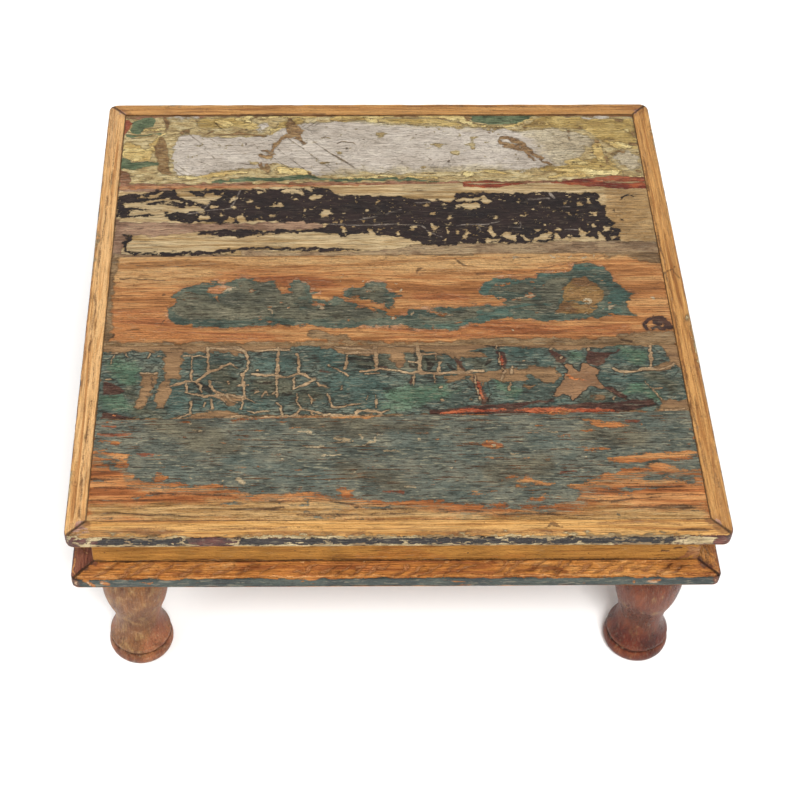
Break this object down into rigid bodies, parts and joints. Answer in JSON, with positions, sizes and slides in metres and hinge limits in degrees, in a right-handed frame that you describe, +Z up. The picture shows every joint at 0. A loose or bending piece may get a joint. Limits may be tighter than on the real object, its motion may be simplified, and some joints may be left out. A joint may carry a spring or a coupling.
{
  "type": "bajot low table",
  "caption": "Low square table of reclaimed painted boards in a mitred edge, on a set-back neck, a flat moulded base frame and short turned legs.",
  "frame": {"origin": "on the floor, under the middle of the table top", "axes": "+Z up, +X to the right and +Y to the back as seen in the picture; the boards run along X"},
  "size_m": [0.4, 0.4, 0.161],
  "materials": {
    "board_white_paint": "chipped grey-white paint over ochre",
    "board_black_paint": "chipped aubergine-black paint over cream",
    "board_bare_pine": "bare orange pine with patches of grey-green paint",
    "board_green_crackle": "crackled green paint over bare wood",
    "board_blue_green": "thin weathered blue-green paint over pine",
    "strip_pine": "waxed yellow pine, old paint left on its outer face",
    "neck_ochre_paint": "worn ochre paint",
    "neck_maroon_paint": "worn maroon paint",
    "base_worn_pine": "worn orange wood, grey-green paint on its outer face",
    "base_maroon_wash": "worn maroon and brown wood",
    "hidden_pine": "plain sawn pine",
    "leg_turned_wood": "turned wood, worn red-brown stain",
    "fastener_steel": "dull plain steel"
  },
  "bodies": {
    "root": {"top_plank_1": "board_white_paint", "top_plank_2": "board_black_paint", "top_plank_3": "board_bare_pine", "top_plank_4": "board_green_crackle", "top_plank_5": "board_blue_green", "edge_strip_front": "strip_pine", "edge_strip_right": "strip_pine", "edge_strip_back": "strip_pine", "edge_strip_left": "strip_pine", "neck_rail_front": "neck_ochre_paint", "neck_rail_right": "neck_maroon_paint", "neck_rail_back": "neck_ochre_paint", "neck_rail_left": "neck_maroon_paint", "base_rail_front": "base_worn_pine", "base_rail_right": "base_maroon_wash", "base_rail_back": "base_worn_pine", "base_rail_left": "base_maroon_wash", "batten_left": "hidden_pine", "batten_right": "hidden_pine", "corner_block_front_left": "hidden_pine", "corner_block_front_right": "hidden_pine", "corner_block_back_right": "hidden_pine", "corner_block_back_left": "hidden_pine", "leg_front_left": "leg_turned_wood", "leg_front_right": "leg_turned_wood", "leg_back_right": "leg_turned_wood", "leg_back_left": "leg_turned_wood", "batten_screws": "fastener_steel", "frame_nails": "fastener_steel", "strip_brads": "fastener_steel"}
  },
  "joints": []
}
